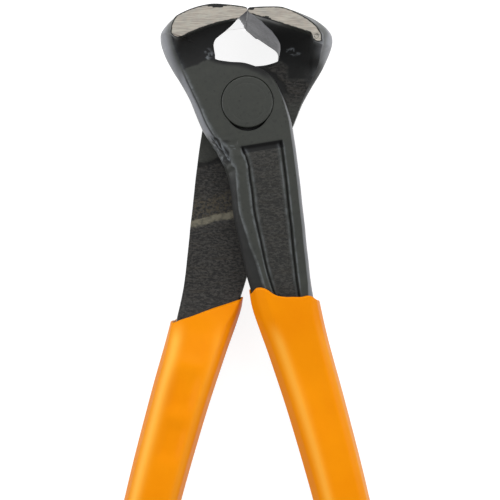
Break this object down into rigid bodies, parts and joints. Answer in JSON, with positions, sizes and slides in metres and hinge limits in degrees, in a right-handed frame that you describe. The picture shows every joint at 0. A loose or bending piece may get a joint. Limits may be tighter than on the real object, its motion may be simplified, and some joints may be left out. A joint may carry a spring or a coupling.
{
  "type": "tile nippers",
  "caption": "End-cutting nippers for tile and wire: two forged steel levers crossing in a riveted lap joint, wide jaws that meet end-on, and dipped vinyl grips.",
  "frame": {"origin": "centre of the front rivet head's flat face, on the hinge axis", "axes": "+Z along the hinge axis, out of the front of the tool; +Y towards the jaws along the tool's length; +X to the right, on the side of the right grip"},
  "size_m": [0.0738, 0.1801, 0.0246],
  "materials": {
    "painted_steel": "semi-gloss dark graphite paint over forged steel, jaw sides ground bright",
    "rivet_steel": "semi-gloss dark graphite paint",
    "vinyl": "glossy dipped orange vinyl"
  },
  "bodies": {
    "front_half": {"front_lever": "painted_steel", "rivet": "rivet_steel", "right_grip": "vinyl"},
    "rear_half": {"rear_lever": "painted_steel", "left_grip": "vinyl"}
  },
  "joints": [
    {"name": "jaw_hinge", "type": "hinge", "parent": "front_half", "child": "rear_half", "pos_m": [0, 0, -0.00785], "axis": [0, 0, -1], "range_deg": [0, 35]}
  ]
}
